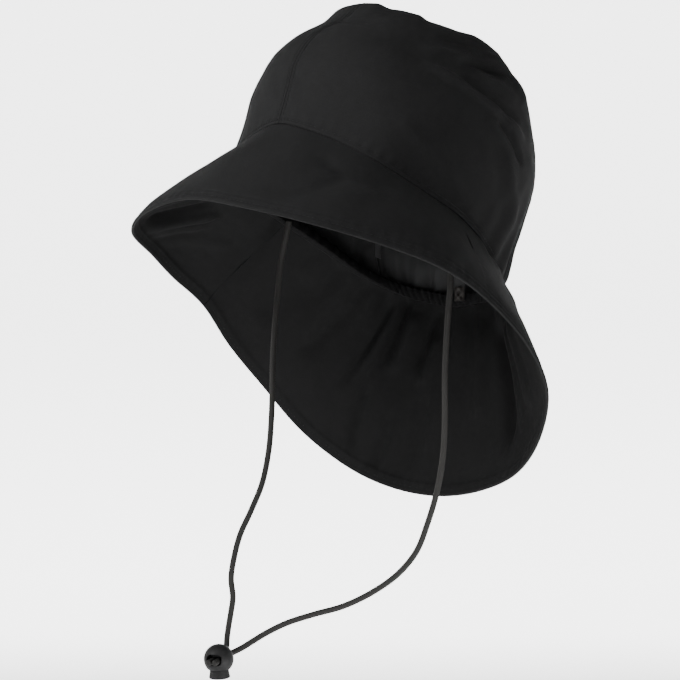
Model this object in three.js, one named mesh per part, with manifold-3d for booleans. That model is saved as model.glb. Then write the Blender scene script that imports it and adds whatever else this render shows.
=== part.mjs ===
// Rain hat with a long neck flap and a chin cord, as it sits tipped back on a head.
// Millimetres. +Z is up, -Y is where the wearer looks, +X is the wearer's left.
// The origin is the centre of the head opening, where the crown meets the brim.
import * as THREE from 'three';
import { mergeVertices } from 'three/addons/utils/BufferGeometryUtils.js';
import Module from 'manifold-3d';

// Main sizes
const TIP_BACK = 36; // degrees the head opening leans back, front edge up
const CLOTH = 1.4; // thickness of the woven cloth with its coating
const GAP = 0.3; // free space between two pieces that are sewn together
const BACK_SEAM = 133; // degrees from the front to the crown's back side seams
const SIDE_SEAM = 90; // degrees from the front to the seams between brim and flap

// The seam between crown and brim, from the front centre round the wearer's left side.
// side is to the wearer's left, front and up are in and off the plane of the head opening.
const SEAM = [
  { angle: 0, side: 0, front: 93.5, up: 0.5 },
  { angle: 15, side: 23, front: 89, up: -2 },
  { angle: 30, side: 45, front: 80, up: -5 },
  { angle: 45, side: 63, front: 68, up: -8 },
  { angle: 60, side: 73, front: 50.5, up: -8 },
  { angle: 75, side: 78, front: 26.5, up: -5 },
  { angle: 90, side: 78.5, front: -1, up: 0 },
  { angle: 105, side: 73, front: -30.5, up: 3 },
  { angle: 120, side: 62.5, front: -59, up: 3 },
  { angle: 135, side: 53, front: -78, up: 6 },
  { angle: 150, side: 42, front: -89, up: 9 },
  { angle: 165, side: 24.5, front: -95, up: 9 },
  { angle: 180, side: 0, front: -96.5, up: 6.5 },
];

// Level sections of the crown, from its seam to its top. square is the power of the
// rounded outline, 2 for an ellipse.
const CROWN = [
  { share: 0, up: 0, front: 93, side: 80, back: 97, square: 2 },
  { share: 0.12, up: 20, front: 99, side: 85.5, back: 88, square: 2.05 },
  { share: 0.26, up: 41, front: 105, side: 86, back: 85, square: 2.15 },
  { share: 0.4, up: 62, front: 103, side: 80.5, back: 84, square: 2.25 },
  { share: 0.54, up: 82, front: 93, side: 70.5, back: 81.5, square: 2.3 },
  { share: 0.68, up: 101, front: 79.5, side: 61, back: 71.5, square: 2.3 },
  { share: 0.82, up: 115.5, front: 52.5, side: 58, back: 48, square: 2.2 },
  { share: 0.92, up: 122.5, front: 28, side: 39, back: 32, square: 2.05 },
  { share: 1, up: 124, front: 0, side: 0, back: 0, square: 2 },
];
const SEAM_REACH = 0.4; // share of the crown over which the seam's own outline fades out

// The free edge of the brim and of the flap, at the ends of the lines that fan out from the seam.
const RIM = [
  { angle: 0, left: 0, back: -147, up: 8.5, bow: 1.5 },
  { angle: 20, left: 46, back: -142, up: 2, bow: 2.5 },
  { angle: 40, left: 85, back: -121, up: -9, bow: 5 },
  { angle: 60, left: 110, back: -83.5, up: -22.5, bow: 6 },
  { angle: 75, left: 125, back: -54.5, up: -35, bow: 4 },
  { angle: 90, left: 130, back: -24.5, up: -52.5, bow: 2 },
  { angle: 105, left: 135.5, back: 3.5, up: -79, bow: 1.5 },
  { angle: 120, left: 128.5, back: 27.5, up: -106.5, bow: 1 },
  { angle: 135, left: 107.5, back: 43, up: -136, bow: 3 },
  { angle: 150, left: 77, back: 54.5, up: -158.5, bow: 5 },
  { angle: 165, left: 40.5, back: 58.5, up: -171, bow: 6 },
  { angle: 180, left: 0, back: 60, up: -175.5, bow: 6 },
];

// Folds and dents. Each runs over three places, given as an angle round the hat and a share
// of the way from the seam to the top or to the rim. A height below zero is a valley.
const CROWN_FOLDS = [
  { a1: 50, s1: 0.43, a2: 78, s2: 0.465, a3: 110, s3: 0.555, width: 3.6, height: 3.4 },
  { a1: 64, s1: 0.49, a2: 82, s2: 0.53, a3: 104, s3: 0.6, width: 4, height: -3 },
  { a1: 66, s1: 0.57, a2: 88, s2: 0.65, a3: 116, s3: 0.78, width: 5.5, height: 2.5 },
  { a1: 64, s1: 0.54, a2: 82, s2: 0.71, a3: 104, s3: 0.86, width: 4, height: -4 },
  { a1: 46, s1: 0.49, a2: 66, s2: 0.61, a3: 86, s3: 0.82, width: 4.5, height: 2.6 },
  { a1: 52, s1: 0.62, a2: 64, s2: 0.75, a3: 80, s3: 0.88, width: 3.2, height: -1.6 },
  { a1: 50, s1: 0.76, a2: 70, s2: 0.85, a3: 92, s3: 0.92, width: 6, height: 2.5 },
  { a1: 86, s1: 0.47, a2: 97, s2: 0.435, a3: 108, s3: 0.37, width: 4.5, height: -2.6 },
  { a1: 68, s1: 0.13, a2: 84, s2: 0.07, a3: 102, s3: 0.02, width: 4, height: 0.9 },
  { a1: 48, s1: 0.17, a2: 64, s2: 0.12, a3: 82, s3: 0.08, width: 4.5, height: 0.9 },
  { a1: 92, s1: 0.38, a2: 106, s2: 0.24, a3: 126, s3: 0.08, width: 7, height: 1.6 },
  { a1: 84, s1: 0.36, a2: 99, s2: 0.22, a3: 116, s3: 0.09, width: 7, height: -1.4 },
  { a1: -8, s1: 0.6, a2: 8, s2: 0.545, a3: 24, s3: 0.6, width: 5, height: -1 },
  { a1: -26, s1: 0.7, a2: -4, s2: 0.68, a3: 18, s3: 0.72, width: 9, height: 5.5 },
  { a1: 12, s1: 0.735, a2: 24, s2: 0.715, a3: 36, s3: 0.75, width: 6, height: 2.4 },
  { a1: -64, s1: 0.42, a2: -84, s2: 0.5, a3: -106, s3: 0.55, width: 5, height: 2.6 },
  { a1: -70, s1: 0.56, a2: -88, s2: 0.62, a3: -104, s3: 0.66, width: 5, height: -2.6 },
  { a1: -98, s1: 0.3, a2: -112, s2: 0.2, a3: -124, s3: 0.1, width: 6, height: -1.6 },
  { a1: 150, s1: 0.12, a2: 158, s2: 0.3, a3: 150, s3: 0.52, width: 8, height: -2.4 },
  { a1: -172, s1: 0.1, a2: -168, s2: 0.32, a3: -176, s3: 0.6, width: 8, height: -2.4 },
  { a1: 174, s1: 0.2, a2: 178, s2: 0.5, a3: 170, s3: 0.74, width: 7, height: 2 },
];
const BRIM_FOLDS = [
  { a1: 28, s1: 0.18, a2: 42, s2: 0.36, a3: 64, s3: 0.25, width: 6, height: -1.5 },
  { a1: 28, s1: 0.92, a2: 36, s2: 0.62, a3: 43, s3: 0.36, width: 6, height: -1.3 },
  { a1: 38, s1: 0.9, a2: 45, s2: 0.65, a3: 58, s3: 0.4, width: 7, height: 1 },
  { a1: -34, s1: 0.94, a2: -43, s2: 0.62, a3: -48, s3: 0.4, width: 3, height: -1.6 },
  { a1: -42, s1: 0.88, a2: -55, s2: 0.53, a3: -63, s3: 0.2, width: 3.6, height: 3.6 },
  { a1: -46, s1: 0.94, a2: -60, s2: 0.58, a3: -69, s3: 0.26, width: 3.2, height: -2.8 },
  { a1: -50, s1: 0.94, a2: -62, s2: 0.65, a3: -70, s3: 0.44, width: 3, height: -1.6 },
  { a1: -56, s1: 0.92, a2: -72, s2: 0.62, a3: -84, s3: 0.45, width: 5, height: -1 },
  { a1: -110, s1: 0.2, a2: -108, s2: 0.45, a3: -106, s3: 0.75, width: 9, height: 2 },
  { a1: -125, s1: 0.2, a2: -124, s2: 0.45, a3: -122, s3: 0.7, width: 6, height: 1.8 },
  { a1: -144, s1: 0.02, a2: -142, s2: 0.3, a3: -138, s3: 0.7, width: 4, height: 3 },
  { a1: -149, s1: 0.03, a2: -145, s2: 0.28, a3: -141, s3: 0.6, width: 4, height: -2.6 },
  { a1: -153, s1: 0.02, a2: -150, s2: 0.2, a3: -149, s3: 0.48, width: 3.8, height: 2.6 },
  { a1: -158, s1: 0.08, a2: -156, s2: 0.26, a3: -152, s3: 0.5, width: 4.5, height: -2 },
  { a1: -170, s1: 0.02, a2: -166, s2: 0.2, a3: -163, s3: 0.42, width: 5, height: 2.4 },
  { a1: -171, s1: 0.16, a2: -169, s2: 0.32, a3: -166, s3: 0.5, width: 4.5, height: -1.6 },
  { a1: -148, s1: 0.5, a2: -148, s2: 0.74, a3: -151, s3: 0.96, width: 5, height: 2 },
  { a1: -157, s1: 0.62, a2: -158, s2: 0.8, a3: -158, s3: 0.97, width: 4.5, height: 1.8 },
  { a1: -170, s1: 0.48, a2: -169, s2: 0.68, a3: -169, s3: 0.9, width: 6, height: 1.8 },
  { a1: 168, s1: 0.08, a2: 169, s2: 0.4, a3: 170, s3: 0.7, width: 8, height: -1.6 },
  { a1: 158, s1: 0.1, a2: 155.5, s2: 0.46, a3: 156, s3: 0.9, width: 5.5, height: 6 },
  { a1: 151, s1: 0.12, a2: 147.5, s2: 0.42, a3: 150, s3: 0.78, width: 3.5, height: -2.6 },
  { a1: 142, s1: 0.1, a2: 141, s2: 0.45, a3: 138, s3: 0.85, width: 8, height: -2.4 },
  { a1: 124, s1: 0.08, a2: 122, s2: 0.4, a3: 120, s3: 0.8, width: 8, height: 2 },
];

// How finely the panels are cut: columns go round the hat, rows go from the seam outwards
const CROWN_ROWS = 12;
const BRIM_ROWS = 8;
const COLUMNS = { crown_left: 32, crown_right: 28, crown_back: 24, front_brim: 38, neck_flap: 62 };

const FOLD_FADE = 0.25; // share of a fold's length over which each of its ends fades out
const FOLD_STEPS = 8;

// Gathers that the elastic pulls in, behind the side seams
const GATHER_START = 94; // degrees from the front
const GATHER_FULL = 112;
const GATHER_STEP = 12; // degrees from one gather to the next
const GATHER_HEIGHT = 2.2;
const GATHER_REACH = 11; // distance from the seam at which a gather stands highest
const SEAM_FLAT = 6; // distance from the seam over which folds rise from nothing

// Elastic casing inside the head opening
const BAND_INSET = 3.6;
const BAND_THICK = 2.4;
const BAND_HEIGHT = 8;
const BAND_STEPS = 72;
const BAND_WALL = 0.03; // share of the crown's wall whose slope the casing follows

// Tape over the crown's back side seams, seen from inside
const TAPE = { width: 3.5, thick: 0.8, inset: CLOTH + 0.7, from: 0.1, to: 0.92 };

// Small bare label that stands on the casing at the back
const LABEL = { wide: 8, thick: 0.8, tall: 17.5, side: 6, back: 75.6, base: -51 };

// Chin cord, in two strands that end in the lock
const CORD = 3.5; // diameter
const CORD_SIDES = 8;
const CORD_STEP = 7; // distance between two steps of a strand
const LEFT_STRAND = [
  [68.5, 4, 0], [69.5, 4, -10], [71, 2, -24], [72, 1, -40], [70, 1, -58], [67.5, 1.5, -80],
  [65.5, 2.5, -100], [62.5, 5.5, -124], [59, 7.5, -146], [53, 8.5, -168], [45, 8, -189],
  [36.5, 6.5, -207], [26, 1, -221], [10.5, -6.5, -233], [-5.5, -16, -242], [-21.5, -26, -247.5],
  [-37.5, -34.5, -253.5], [-51.5, -39.5, -260.5], [-61.5, -41.5, -266], [-67.5, -45.5, -270.5],
  [-69, -51.5, -273],
];
const RIGHT_STRAND = [
  [-68.5, -4.5, 0], [-71, -5, -10], [-75.5, -5, -25], [-77, -6.5, -44], [-76, -10, -66],
  [-73, -14.5, -89], [-69, -18.5, -108], [-65.5, -22.5, -127], [-62.5, -27.5, -147],
  [-62, -33.5, -167], [-64, -41, -184], [-67, -47.5, -199], [-69, -51, -214],
  [-70.5, -52, -226.5], [-70.5, -50.5, -238.5], [-72.5, -50.5, -248.5], [-74.5, -50.5, -256.5],
  [-75.5, -51, -264], [-73.5, -53.5, -270],
];
// Places along the lock's hole, from behind it to its front
const CORD_PLACES = [-10, -4, 4, 12.5];
const CORD_SPREAD = 1.95; // each strand's distance from the middle of the hole

// Cord lock: a ball with a spring plunger in it
const LOCK_CENTRE = new THREE.Vector3(-63.6, -68.2, -275.5);
const LOCK_HOLE = new THREE.Vector3(0.44, -0.848, -0.13).normalize();
const BALL = { radius: 9.4, cut: -6.2, bore: 5.6, boreTop: 6.4, mouth: 6.4, mouthTop: -3.9 };
const BALL_HOLE = { wide: 10, low: -2.6, high: 4.4, corner: 2.8 };
const PLUNGER_HOLE = { wide: 8, low: -4.8, high: 2.2, corner: 0.7 };
const PLUNGER = [
  { radius: 0, up: 3.7 },
  { radius: 4.9, up: 3.7 },
  { radius: 5.3, up: 3.3 },
  { radius: 5.3, up: -6.3 },
  { radius: 6.05, up: -6.5 },
  { radius: 6.15, up: -9 },
  { radius: 6.7, up: -11.5 },
  { radius: 6.4, up: -11.9 },
  { radius: 5.2, up: -11.7 },
  { radius: 0, up: -10.6 },
];
const LOCK_SIDES = 20;

const COLOURS = {
  shell: { color: 0x1d1d1e, roughness: 0.85, metalness: 0 },
  inside: { color: 0x161617, roughness: 0.8, metalness: 0 },
  elastic: { color: 0x121213, roughness: 0.9, metalness: 0 },
  label: { color: 0x1a1a1b, roughness: 0.7, metalness: 0 },
  cord: { color: 0x2b2a29, roughness: 0.8, metalness: 0 },
  plastic: { color: 0x2a2a2b, roughness: 0.45, metalness: 0 },
};

const wasm = await Module();
wasm.setup();

function radians(degrees) {
  return THREE.MathUtils.degToRad(degrees);
}

function smooth(x) {
  const t = Math.min(1, Math.max(0, x));
  return t * t * (3 - 2 * t);
}

// A smooth curve through one column of a table.
function curveThrough(xs, ys, x) {
  let i = 1;
  while (i < xs.length - 3 && x > xs[i + 1]) {
    i += 1;
  }
  const step = xs[i + 1] - xs[i];
  const t = (x - xs[i]) / step;
  const slope = ((ys[i + 1] - ys[i - 1]) / (xs[i + 1] - xs[i - 1])) * step;
  const nextSlope = ((ys[i + 2] - ys[i]) / (xs[i + 2] - xs[i])) * step;
  const t2 = t * t;
  const t3 = t2 * t;
  return (2 * t3 - 3 * t2 + 1) * ys[i] + (t3 - 2 * t2 + t) * slope
    + (3 * t2 - 2 * t3) * ys[i + 1] + (t3 - t2) * nextSlope;
}

// A column of a table that runs from the front to the back, mirrored to the other side.
function roundTheHat(table, column, angle, mirrored = false) {
  const turned = ((angle + 540) % 360) - 180;
  const sign = mirrored ? -1 : 1;
  const xs = table.map((row) => row.angle);
  const ys = table.map((row) => row[column]);
  const last = xs.length - 1;
  const before = [-xs[1], sign * ys[1]];
  const after = [360 - xs[last - 1], sign * ys[last - 1]];
  const value = curveThrough([before[0], ...xs, after[0]], [before[1], ...ys, after[1]], Math.abs(turned));
  return mirrored && turned < 0 ? -value : value;
}

function upTheCrown(column, share) {
  const xs = CROWN.map((row) => row.share);
  const ys = CROWN.map((row) => row[column]);
  const last = xs.length - 1;
  const start = 2 * ys[0] - ys[1];
  const end = column === 'up' ? ys[last - 1] : 2 * ys[last] - ys[last - 1];
  return curveThrough([-xs[1], ...xs, 2 - xs[last - 1]], [start, ...ys, end], share);
}

// From the plane of the head opening to the frame of the part.
function tipped(side, front, up) {
  const cos = Math.cos(radians(TIP_BACK));
  const sin = Math.sin(radians(TIP_BACK));
  return new THREE.Vector3(side, -cos * front + sin * up, sin * front + cos * up);
}

function seamPoint(angle) {
  return tipped(
    roundTheHat(SEAM, 'side', angle, true),
    roundTheHat(SEAM, 'front', angle),
    roundTheHat(SEAM, 'up', angle),
  );
}

function rimPoint(angle) {
  return new THREE.Vector3(
    roundTheHat(RIM, 'left', angle, true),
    roundTheHat(RIM, 'back', angle),
    roundTheHat(RIM, 'up', angle),
  );
}

function crownBase(angle, share) {
  const sin = Math.sin(radians(angle));
  const cos = Math.cos(radians(angle));
  const power = 2 / upTheCrown('square', share);
  const ahead = cos > 0 ? 'front' : 'back';
  const side = Math.sign(sin) * Math.abs(sin) ** power * upTheCrown('side', share);
  const front = Math.sign(cos) * Math.abs(cos) ** power * upTheCrown(ahead, share);
  const own = Math.max(0, 1 - share / SEAM_REACH) ** 2;
  const sideOff = roundTheHat(SEAM, 'side', angle, true) - sin * CROWN[0].side;
  const frontOff = roundTheHat(SEAM, 'front', angle) - cos * CROWN[0][ahead];
  const upOff = roundTheHat(SEAM, 'up', angle);
  return tipped(side + sideOff * own, front + frontOff * own, upTheCrown('up', share) + upOff * own);
}

function brimBase(angle, share) {
  const seam = seamPoint(angle);
  const ruling = rimPoint(angle).sub(seam);
  const along = seamPoint(angle + 1).sub(seamPoint(angle - 1));
  const outward = new THREE.Vector3().crossVectors(ruling, along).normalize();
  const bow = roundTheHat(RIM, 'bow', angle) * 6.75 * share * share * (1 - share);
  return seam.addScaledVector(ruling, share).addScaledVector(outward, bow);
}

// The way out of a base surface at one place.
function outwardAt(base, sign, angle, share) {
  const turn = 0.5;
  const step = 0.005;
  const low = Math.max(0, share - step);
  const high = Math.min(1, share + step);
  const round = base(angle + turn, share).sub(base(angle - turn, share));
  const up = base(angle, high).sub(base(angle, low));
  return new THREE.Vector3().crossVectors(round, up).multiplyScalar(sign).normalize();
}

// A fold as a short line of places on its surface, with its width and height.
function foldLine(base, fold) {
  const places = [];
  for (let i = 0; i <= FOLD_STEPS; i += 1) {
    const t = i / FOLD_STEPS;
    const first = 1 - 3 * t + 2 * t * t;
    const middle = 4 * t - 4 * t * t;
    const last = 2 * t * t - t;
    const angle = first * fold.a1 + middle * fold.a2 + last * fold.a3;
    const share = first * fold.s1 + middle * fold.s2 + last * fold.s3;
    places.push(base(angle, Math.min(1, Math.max(0, share))));
  }
  return { places, width: fold.width, height: fold.height };
}

function foldHeight(point, line) {
  let nearest = Infinity;
  let along = 0;
  for (let i = 0; i < FOLD_STEPS; i += 1) {
    const start = line.places[i];
    const way = line.places[i + 1].clone().sub(start);
    const offset = point.clone().sub(start);
    const t = Math.min(1, Math.max(0, offset.dot(way) / way.lengthSq()));
    const distance = offset.addScaledVector(way, -t).length();
    if (distance < nearest) {
      nearest = distance;
      along = (i + t) / FOLD_STEPS;
    }
  }
  const fade = smooth(Math.min(along, 1 - along) / FOLD_FADE);
  return line.height * fade * Math.exp(-((nearest / line.width) ** 2));
}

function gatherHeight(angle, distance) {
  const turned = Math.abs(((angle + 540) % 360) - 180);
  const pulled = smooth((turned - GATHER_START) / (GATHER_FULL - GATHER_START));
  const wave = 0.5 - 0.5 * Math.cos(radians((360 * angle) / GATHER_STEP));
  const rise = (distance / GATHER_REACH) * Math.exp(1 - distance / GATHER_REACH);
  return GATHER_HEIGHT * pulled * wave * rise;
}

// A cloth surface with its folds and gathers on it.
function clothSurface(base, sign, folds) {
  const lines = folds.map((fold) => foldLine(base, fold));
  return (angle, share) => {
    const point = base(angle, share);
    const distance = point.distanceTo(seamPoint(angle));
    let height = 0;
    for (const line of lines) {
      height += foldHeight(point, line);
    }
    height = height * smooth(distance / SEAM_FLAT) + gatherHeight(angle, distance);
    return point.addScaledVector(outwardAt(base, sign, angle, share), height);
  };
}

function makeGeometry(points, triangles) {
  const geometry = new THREE.BufferGeometry();
  const flat = points.flatMap((point) => [point.x, point.y, point.z]);
  geometry.setAttribute('position', new THREE.Float32BufferAttribute(flat, 3));
  geometry.setIndex(triangles);
  geometry.computeVertexNormals();
  return geometry;
}

// A closed wall over a grid of places. At each share the columns run between two edges.
function clothWall(surface, sign, panel) {
  const { columns, rows, low, high, from, to } = panel;
  const inset = panel.inset ?? 0;
  const thick = panel.thick ?? CLOTH;
  const outer = [];
  const inner = [];
  for (let j = 0; j <= rows; j += 1) {
    const share = low + ((high - low) * j) / rows;
    for (let i = 0; i <= columns; i += 1) {
      const angle = from(share) + ((to(share) - from(share)) * i) / columns;
      const point = surface(angle, share);
      const outward = outwardAt(surface, sign, angle, share);
      outer.push(point.clone().addScaledVector(outward, -inset));
      inner.push(point.addScaledVector(outward, -inset - thick));
    }
  }
  const triangles = [];
  const wide = columns + 1;
  const underside = outer.length;
  const quad = (a, b, c, d) => {
    if (sign > 0) {
      triangles.push(a, b, c, a, c, d);
    } else {
      triangles.push(a, c, b, a, d, c);
    }
  };
  for (let j = 0; j < rows; j += 1) {
    for (let i = 0; i < columns; i += 1) {
      const a = j * wide + i;
      const b = a + wide;
      quad(a, a + 1, b + 1, b);
      quad(underside + a + 1, underside + a, underside + b, underside + b + 1);
    }
    const left = j * wide;
    const right = left + columns;
    quad(underside + left, left, left + wide, underside + left + wide);
    quad(right, underside + right, underside + right + wide, right + wide);
  }
  for (let i = 0; i < columns; i += 1) {
    const top = rows * wide + i;
    quad(underside + i, underside + i + 1, i + 1, i);
    quad(top, top + 1, underside + top + 1, underside + top);
  }
  return makeGeometry([...outer, ...inner], triangles);
}

// The angle that covers a distance along a level line of a surface.
function angleOf(base, angle, share, distance) {
  return distance / base(angle + 0.5, share).distanceTo(base(angle - 0.5, share));
}

const crownSurface = clothSurface(crownBase, 1, CROWN_FOLDS);
const brimSurface = clothSurface(brimBase, -1, BRIM_FOLDS);

// One panel of the crown, from the seam nearly to the top, where the three panels meet.
function crownPanel(fromAngle, toAngle, columns) {
  return clothWall(crownSurface, 1, {
    columns,
    rows: CROWN_ROWS,
    low: 0.0012,
    high: 0.998,
    from: (share) => fromAngle + angleOf(crownBase, fromAngle, share, GAP / 2),
    to: (share) => toAngle - angleOf(crownBase, toAngle, share, GAP / 2),
  });
}

// A part of the brim, from the seam to the rim.
function brimPanel(fromAngle, toAngle, columns) {
  return clothWall(brimSurface, -1, {
    columns,
    rows: BRIM_ROWS,
    low: 0.003,
    high: 1,
    from: (share) => fromAngle + angleOf(brimBase, fromAngle, share, GAP / 2),
    to: (share) => toAngle - angleOf(brimBase, toAngle, share, GAP / 2),
  });
}

function seamTape(angle) {
  return clothWall(crownSurface, 1, {
    columns: 1,
    rows: CROWN_ROWS,
    low: TAPE.from,
    high: TAPE.to,
    inset: TAPE.inset,
    thick: TAPE.thick,
    from: (share) => angle - angleOf(crownBase, angle, share, TAPE.width / 2),
    to: (share) => angle + angleOf(crownBase, angle, share, TAPE.width / 2),
  });
}

// The casing: a flat ring that follows the seam just inside the crown's wall.
function sweatband() {
  const points = [];
  const triangles = [];
  const corners = [
    { inward: 0, up: -BAND_HEIGHT / 2 },
    { inward: BAND_THICK, up: -BAND_HEIGHT / 2 },
    { inward: BAND_THICK, up: BAND_HEIGHT / 2 },
    { inward: 0, up: BAND_HEIGHT / 2 },
  ];
  for (let i = 0; i < BAND_STEPS; i += 1) {
    const angle = (360 * i) / BAND_STEPS;
    const seam = seamPoint(angle);
    const upward = crownBase(angle, BAND_WALL).sub(seam).normalize();
    const along = seamPoint(angle + 1).sub(seamPoint(angle - 1)).normalize();
    const inward = new THREE.Vector3().crossVectors(upward, along).normalize();
    for (const corner of corners) {
      const place = seam.clone().addScaledVector(upward, corner.up);
      points.push(place.addScaledVector(inward, BAND_INSET + corner.inward));
    }
    const next = (i + 1) % BAND_STEPS;
    for (let k = 0; k < corners.length; k += 1) {
      const a = i * 4 + k;
      const b = i * 4 + ((k + 1) % 4);
      const c = next * 4 + ((k + 1) % 4);
      const d = next * 4 + k;
      triangles.push(a, b, c, a, c, d);
    }
  }
  return makeGeometry(points, triangles);
}

// Axes of the lock: across the hole, through the hole, and along the plunger.
function lockAxes() {
  const upward = new THREE.Vector3(0, 0, 1);
  upward.addScaledVector(LOCK_HOLE, -upward.dot(LOCK_HOLE)).normalize();
  const across = new THREE.Vector3().crossVectors(LOCK_HOLE, upward).normalize();
  return { across, through: LOCK_HOLE, upward };
}

function toLock(geometry) {
  const { across, through, upward } = lockAxes();
  const turn = new THREE.Matrix4().makeBasis(across, through, upward);
  return geometry.applyMatrix4(turn.setPosition(LOCK_CENTRE));
}

function lockPlace(along, spread) {
  const { across, through } = lockAxes();
  return LOCK_CENTRE.clone().addScaledVector(through, along).addScaledVector(across, spread);
}

function solidOf(geometry) {
  const bare = geometry.clone();
  bare.deleteAttribute('normal');
  bare.deleteAttribute('uv');
  const merged = mergeVertices(bare, 1e-4);
  return new wasm.Manifold(new wasm.Mesh({
    numProp: 3,
    vertProperties: new Float32Array(merged.attributes.position.array),
    triVerts: new Uint32Array(merged.index.array),
  }));
}

function geometryOf(solid) {
  const mesh = solid.getMesh();
  const geometry = new THREE.BufferGeometry();
  geometry.setAttribute('position', new THREE.BufferAttribute(new Float32Array(mesh.vertProperties), 3));
  geometry.setIndex(new THREE.BufferAttribute(new Uint32Array(mesh.triVerts), 1));
  geometry.computeVertexNormals();
  return geometry;
}

// A turned piece, with its axis along Z.
function turned(profile, sides) {
  const points = profile.map((row) => new THREE.Vector2(row.radius, row.up));
  if (points[0].y > points[points.length - 1].y) {
    points.reverse();
  }
  return new THREE.LatheGeometry(points, sides).rotateX(Math.PI / 2);
}

function cylinder(radius, low, high) {
  return turned([
    { radius: 0, up: low },
    { radius, up: low },
    { radius, up: high },
    { radius: 0, up: high },
  ], LOCK_SIDES);
}

// A hole along Y with rounded corners, through the whole lock.
function slot(hole) {
  const x = hole.wide / 2 - hole.corner;
  const low = hole.low + hole.corner;
  const high = hole.high - hole.corner;
  const quarter = Math.PI / 2;
  const outline = new THREE.Shape();
  outline.absarc(x, low, hole.corner, -quarter, 0, false);
  outline.absarc(x, high, hole.corner, 0, quarter, false);
  outline.absarc(-x, high, hole.corner, quarter, 2 * quarter, false);
  outline.absarc(-x, low, hole.corner, 2 * quarter, 3 * quarter, false);
  const depth = 4 * BALL.radius;
  const geometry = new THREE.ExtrudeGeometry(outline, { depth, bevelEnabled: false, curveSegments: 3 });
  return geometry.translate(0, 0, -depth / 2).rotateX(quarter);
}

function lockBody() {
  const reach = 3 * BALL.radius;
  const cut = new THREE.BoxGeometry(reach, reach, reach).translate(0, 0, BALL.cut - reach / 2);
  const ball = new THREE.SphereGeometry(BALL.radius, LOCK_SIDES, 14).rotateX(Math.PI / 2);
  const solid = solidOf(ball)
    .subtract(solidOf(cut))
    .subtract(solidOf(cylinder(BALL.bore, -reach, BALL.boreTop)))
    .subtract(solidOf(cylinder(BALL.mouth, -reach, BALL.mouthTop)))
    .subtract(solidOf(slot(BALL_HOLE)));
  return toLock(geometryOf(solid));
}

function lockPlunger() {
  const solid = solidOf(turned(PLUNGER, LOCK_SIDES)).subtract(solidOf(slot(PLUNGER_HOLE)));
  return toLock(geometryOf(solid));
}

// A strand hangs from the casing and runs through the hole of the lock.
function strand(route, spread) {
  const ends = CORD_PLACES.map((along) => lockPlace(along, spread));
  const points = [...route.map((place) => new THREE.Vector3(...place)), ...ends];
  const path = new THREE.CatmullRomCurve3(points, false, 'centripetal');
  const outline = new THREE.Shape();
  for (let k = 0; k < CORD_SIDES; k += 1) {
    const turn = (2 * Math.PI * k) / CORD_SIDES;
    const place = [(CORD / 2) * Math.cos(turn), (CORD / 2) * Math.sin(turn)];
    if (k === 0) {
      outline.moveTo(...place);
    } else {
      outline.lineTo(...place);
    }
  }
  outline.closePath();
  const steps = Math.round(path.getLength() / CORD_STEP);
  return new THREE.ExtrudeGeometry(outline, { steps, extrudePath: path, bevelEnabled: false });
}

function label() {
  const geometry = new THREE.BoxGeometry(LABEL.wide, LABEL.thick, LABEL.tall);
  return geometry.translate(LABEL.side, LABEL.back, LABEL.base + LABEL.tall / 2);
}

const group = new THREE.Group();

function add(name, geometry, colour) {
  const mesh = new THREE.Mesh(geometry, new THREE.MeshStandardMaterial(COLOURS[colour]));
  mesh.name = name;
  group.add(mesh);
}

add('crown_left', crownPanel(0, BACK_SEAM, COLUMNS.crown_left), 'shell');
add('crown_right', crownPanel(-BACK_SEAM, 0, COLUMNS.crown_right), 'shell');
add('crown_back', crownPanel(BACK_SEAM, 360 - BACK_SEAM, COLUMNS.crown_back), 'shell');
add('front_brim', brimPanel(-SIDE_SEAM, SIDE_SEAM, COLUMNS.front_brim), 'shell');
add('neck_flap', brimPanel(SIDE_SEAM, 360 - SIDE_SEAM, COLUMNS.neck_flap), 'shell');
add('sweatband', sweatband(), 'elastic');
add('seam_tape_left', seamTape(BACK_SEAM), 'inside');
add('seam_tape_right', seamTape(-BACK_SEAM), 'inside');
add('label', label(), 'label');
add('chin_cord_left', strand(LEFT_STRAND, -CORD_SPREAD), 'cord');
add('chin_cord_right', strand(RIGHT_STRAND, CORD_SPREAD), 'cord');
add('cord_lock_body', lockBody(), 'plastic');
add('cord_lock_plunger', lockPlunger(), 'plastic');

export default group;
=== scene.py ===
"""Rain hat with a long neck flap and a chin cord, dressed for the render."""

import math

import bpy
import numpy as np
from mathutils import Matrix, Vector


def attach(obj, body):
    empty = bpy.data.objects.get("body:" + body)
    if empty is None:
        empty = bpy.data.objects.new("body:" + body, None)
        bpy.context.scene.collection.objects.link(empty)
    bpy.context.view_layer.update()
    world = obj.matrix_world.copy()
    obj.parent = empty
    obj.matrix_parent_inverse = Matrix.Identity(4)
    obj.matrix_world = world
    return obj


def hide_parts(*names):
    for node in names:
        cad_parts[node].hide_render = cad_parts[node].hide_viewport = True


MM = 0.001

# Main sizes in millimetres, the same as in the part's source
TIP_BACK = 36
CLOTH = 1.4
BACK_SEAM = 133
SIDE_SEAM = 90
SEAM_REACH = 0.4
FOLD_FADE = 0.25
FOLD_STEPS = 8
GATHER = dict(start=94, full=112, step=12, height=2.2, reach=11)
SEAM_FLAT = 6
CROWN_LENGTH = 172  # along the cloth, from the seam to the top
CROWN_LENGTH_LOW = 166  # what one unit of share measures just above the seam
BOW_SCALE = 6.75  # brings the bow of a ruling to its highest place


def table(columns, *rows):
    """A table with named columns."""
    return dict(zip(columns.split(), np.array(rows, float).T))


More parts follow.
